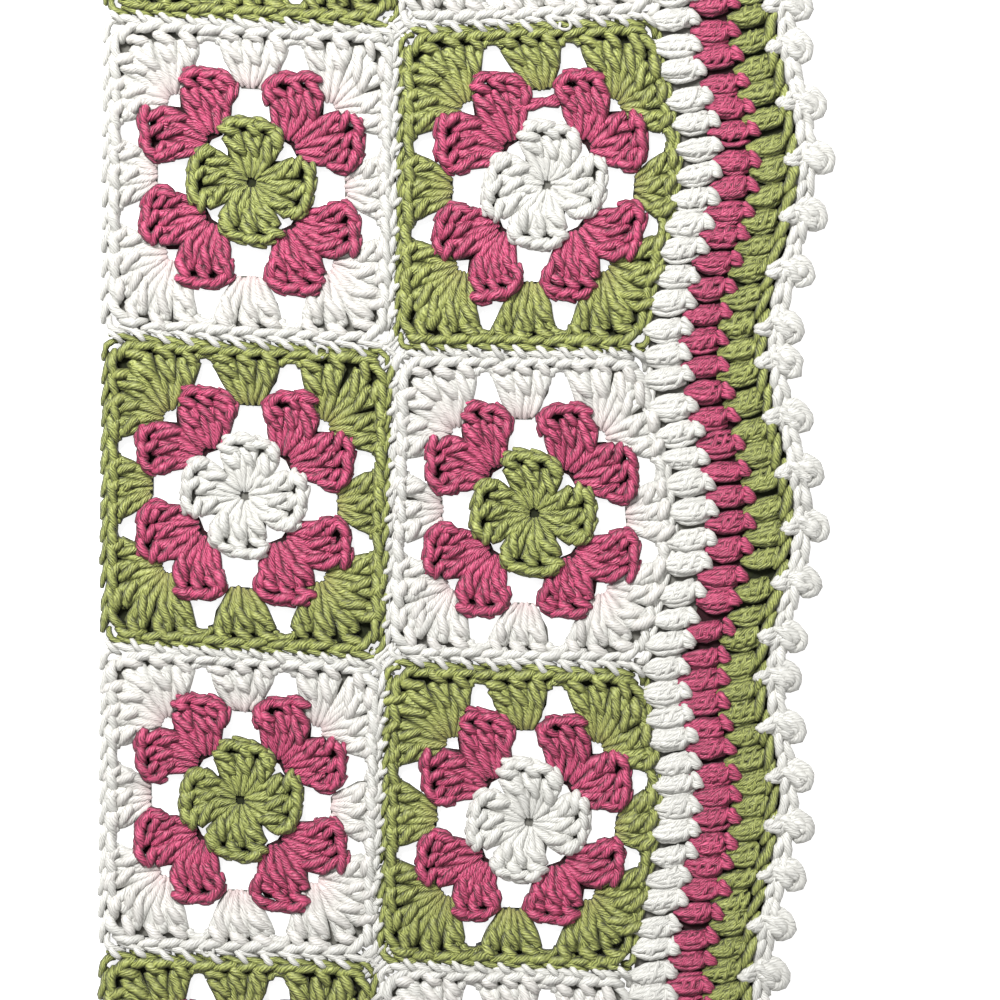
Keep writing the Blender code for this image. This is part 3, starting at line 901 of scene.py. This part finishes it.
# The strands of a picot, each with its radius, the share of it that the ends have, and places across from the
# border's line, along it and up: a fat loop, two strands that fill it, one over its root, and the three of the
# wedge that reaches back into the green round.
picots = dict(points=10, strands=(
    (2.2, 0.6, ((22.8, 3.0, 2.8), (26.2, 3.6, 3.2), (29.6, 1.8, 3.2), (31.0, -1.4, 3.1), (30.2, -4.2, 3.0),
                (26.6, -4.8, 2.6))),
    (2.2, 0.6, ((23.6, 1.4, 3.2), (26.4, 1.0, 3.8), (28.8, -0.8, 3.7), (29.0, -2.8, 3.0))),
    (2.0, 0.6, ((22.4, 0.2, 3.4), (24.6, -1.2, 3.8), (27.0, -3.2, 3.7), (28.2, -3.6, 2.8))),
    (1.5, 0.6, ((21.4, 1.6, 3.9), (23.8, 1.2, 4.6), (26.4, -1.8, 4.4), (28.6, -2.4, 3.4))),
    (1.5, 0.3, ((16.8, -1.0, 4.4), (19.4, 0.5, 4.8), (23.0, 2.8, 3.3))),
    (1.5, 0.3, ((16.6, -1.3, 4.5), (19.4, -0.7, 5.1), (23.0, 0.3, 3.3))),
    (1.5, 0.3, ((16.8, -1.6, 4.4), (19.4, -2.0, 4.7), (23.0, -2.2, 3.2))),
))


def picotStrand(radius, ends, places, rng):
    # One strand of every picot, through its places by a Catmull-Rom curve.
    q = steps(picots)
    at = q[0] * (len(places) - 1)
    i = np.minimum(at.astype(int), len(places) - 2)
    f = (at - i)[:, None]
    v = np.pad(places, ((1, 1), (0, 0)), "edge")
    a, b, c, d = v[i], v[i + 1], v[i + 2], v[i + 3]
    smooth = b + 0.5 * f * (c - a + f * (2 * a - 5 * b + 4 * c - d + f * (3 * (b - c) + d - a)))
    shift = rng.normal(0, 0.25, (len(picotYs), 1, 2))
    places = np.stack([borderX(picotYs), picotYs], 1)[:, None] + smooth[:, :2] + shift
    radii = radius * arch(q * 0.9 + 0.05, ends, 0.5) * rng.normal(1, 0.04, (len(picotYs), 1))
    return makeStrands(places, smooth[None, :, 2], radii)


rng = np.random.default_rng(seeds["edging"])
bundles = [loopRow(borderPath(row["x"]), row, rng) for row in edgingRows]
bundles.append(backStrand(borderPath(edging["x"]), edging["radius"], edging["height"]))
bundles += [picotStrand(*strand, rng) for strand in picots["strands"]]
addPiece("picot_edging_stitches", bundles, rng, "white", "picot_edging")
outlines["white"] += list(stripsBetween(*(borderPath(x) for x in edging["shadedBacks"])))
print("border and edging crocheted")

# The squares are sewn together with short slanting stitches, from one place beside the seam to another.
rowSewing = dict(pitch=7.8, start=(-2.6, 1.9), end=(2.6, -3.1), radius=1.02, high=5.2)
columnSewing = dict(pitch=8.6, start=(-1.8, -1.6), end=(1.8, 1.6), radius=0.95, high=4.7)
crossingSewing = dict(              # where four squares meet
    radius=0.9, high=3.6,
    starts=((-5.6, -5.2), (-2.0, -6.0), (-6.4, 0.4), (-6.0, -2.4), (-4.0, -6.2), (-5.4, 3.6)),
    ends=((4.6, 5.4), (6.2, 0.6), (0.6, 6.4), (3.0, 6.2), (6.4, 3.0), (3.6, -5.0)),
)
sewing = dict(points=7, low=2.0, clear=7.0)   # the seams stop short of the crossings by clear
# Each loose curl is x, y and where it opens, in radians. It runs through the angles from and to beyond that.
curls = dict(places=((-59.3, 49.3, 0.4), (-97.3, -150.0, 2.0), (21.7, 158.3, 3.6)),
             points=9, angles=(-0.6, 4.6), size=1.9, height=5.0, radius=0.55)


def sewnStrands(starts, ends, thread, rng):
    # Thin stitches over a seam, each an arch from one side to the other.
    q = steps(sewing)
    starts = starts + rng.normal(0, 0.3, starts.shape)
    ends = ends + rng.normal(0, 0.3, ends.shape)
    places = starts[:, None] + (ends - starts)[:, None] * q[..., None]
    z = sewing["low"] + (thread["high"] - sewing["low"]) * arch(q, 0, 0.6)
    return makeStrands(places, z, thread["radius"] * arch(q, 0.55, 0.6))


def sewnSeam(start, end, thread, rng):
    # Even stitches between two places, the share (n + 1/2) / count of the way along.
    start, end = np.array(start), np.array(end)
    count = int(np.linalg.norm(end - start) / thread["pitch"])
    middle = start + (end - start) * ((np.arange(count) + 0.5) / count)[:, None]
    return sewnStrands(middle + thread["start"], middle + thread["end"], thread, rng)


rng = np.random.default_rng(seeds["sewing"])
aside, down = np.array((sewing["clear"], 0)), np.array((0, sewing["clear"]))
bundles = []
for left, crossing, borderY in zip(leftEnds[1:-1], seamEnds[1:-1], borderYs[1:-1]):
    right = (borderX(borderY) + layout["borderInner"], borderY)
    bundles.append(sewnSeam(left, crossing - aside, rowSewing, rng))
    bundles.append(sewnSeam(crossing + aside, right, rowSewing, rng))
    starts, ends = (crossing + np.array(crossingSewing[key]) for key in ("starts", "ends"))
    bundles.append(sewnStrands(starts, ends, crossingSewing, rng))
for top, bottom in zip(seamEnds[:-1], seamEnds[1:]):
    bundles.append(sewnSeam(top - down, bottom + down, columnSewing, rng))
for x, y, start in curls["places"]:
    angle = np.linspace(*curls["angles"], curls["points"]) + start
    places = np.array((x, y)) + curls["size"] * np.stack([np.cos(angle), np.sin(angle)], -1)
    bundles.append(makeStrands(places[None], curls["height"], curls["radius"]))
addPiece("joining_stitches", bundles, rng, "white")
print("squares sewn together")

slab = dict(low=1.0, high=1.5, lift=0.04)   # each yarn's slabs lie a little higher than the last yarn's


def slabPiece(name, outlinesByYarn):
    # Closed flat slabs, one for each outline: the outline above, the same reversed below, and a wall of quads.
    vertices, corners, sizes, slots = [], [], [], []
    base, area = 0, 0.0
    for number, (yarn, shapes) in enumerate(outlinesByYarn.items()):
        levels = [slab[key] + slab["lift"] * number for key in ("high", "low")]
        for outline in shapes:
            x, y = outline[:, 0], outline[:, 1]
            turn = (x * np.roll(y, -1) - np.roll(x, -1) * y).sum() / 2
            if turn < 0:
                outline = outline[::-1]
            n = len(outline)
            area += abs(turn)
            vertices += [np.column_stack([outline, np.full(n, level)]) for level in levels]
            i = np.arange(n)
            j = (i + 1) % n
            corners += [base + i, base + n + i[::-1], (base + np.stack([i, n + i, n + j, j], 1)).ravel()]
            sizes += [n, n] + [4] * n
            slots += [number] * (n + 2)
            base += 2 * n
    piece = meshPiece(name, np.concatenate(vertices), np.concatenate(corners), np.array(sizes), False)
    for yarn in outlinesByYarn:
        piece.data.materials.append(shadedBacks[yarn])
    piece.data.polygons.foreach_set("material_index", np.array(slots, dtype=np.int32))
    piece.data.update()
    return piece, area * mm * mm


# Dark slabs under the stitches, coloured with painted shade, fill the gaps between them.
ground, groundArea = slabPiece("shaded_stitch_backs", outlines)
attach(ground, "root")
triangles = sum(sum(len(f.vertices) - 2 for f in p.data.polygons) for p in pieces + [ground])
print("stitch backs laid; area", round(groundArea, 4), "and triangles in all", triangles)

scene = bpy.context.scene
scene.view_settings.view_transform = "Standard"


def addObject(name, data, place):
    # Puts a camera, a light or a mesh in the scene.
    thing = bpy.data.objects.new(name, data)
    thing.location = place
    scene.collection.objects.link(thing)
    return thing


# The camera looks straight down on what the photo shows. level is the height at which the photo's scale holds.
view = dict(photoWidth=1000 / 3, lens=100, level=3.5)
camera = bpy.data.cameras.new("camera")
camera.lens = view["lens"]
distance = view["photoWidth"] * camera.lens / camera.sensor_width
scene.camera = addObject("camera", camera, (*(-middleOfCloth * mm), (view["level"] + distance) * mm))

# The floor reaches so many metres each way, and lies so many millimetres under the cloth.
stage = dict(reach=9, gap=0.4, grey=(0.75, 0.75, 0.75), roughness=0.9, glow=0.8, sky=0.5)
floorMesh = bpy.data.meshes.new("floor")
corners = [(x * stage["reach"], y * stage["reach"], 0) for x, y in ((-1, -1), (1, -1), (1, 1), (-1, 1))]
floorMesh.from_pydata(corners, [], [(0, 1, 2, 3)])
floorMaterial, floorTree, floorShader = newMaterial("paleFloor")
setInputs(floorTree, floorShader, {
    "Base Color": stage["grey"], "Roughness": stage["roughness"], "Emission Strength": stage["glow"],
})
floorMesh.materials.append(floorMaterial)
addObject("floor", floorMesh, (0, 0, -stage["gap"] * mm))

scene.world = bpy.data.worlds.new("softSky")
scene.world.use_nodes = True
sky = scene.world.node_tree
setInputs(sky, sky.nodes["Background"], {"Color": (1, 1, 1), "Strength": stage["sky"]})

keyLight = dict(place=(-0.45, 0.85, 1.1), size=0.45, power=30.5)   # in metres and watts
light = bpy.data.lights.new("keyLight", "AREA")
light.size, light.energy = keyLight["size"], keyLight["power"]
lamp = addObject("keyLight", light, keyLight["place"])
lamp.rotation_euler = (-lamp.location).to_track_quat("-Z", "Y").to_euler()
print("stage set")
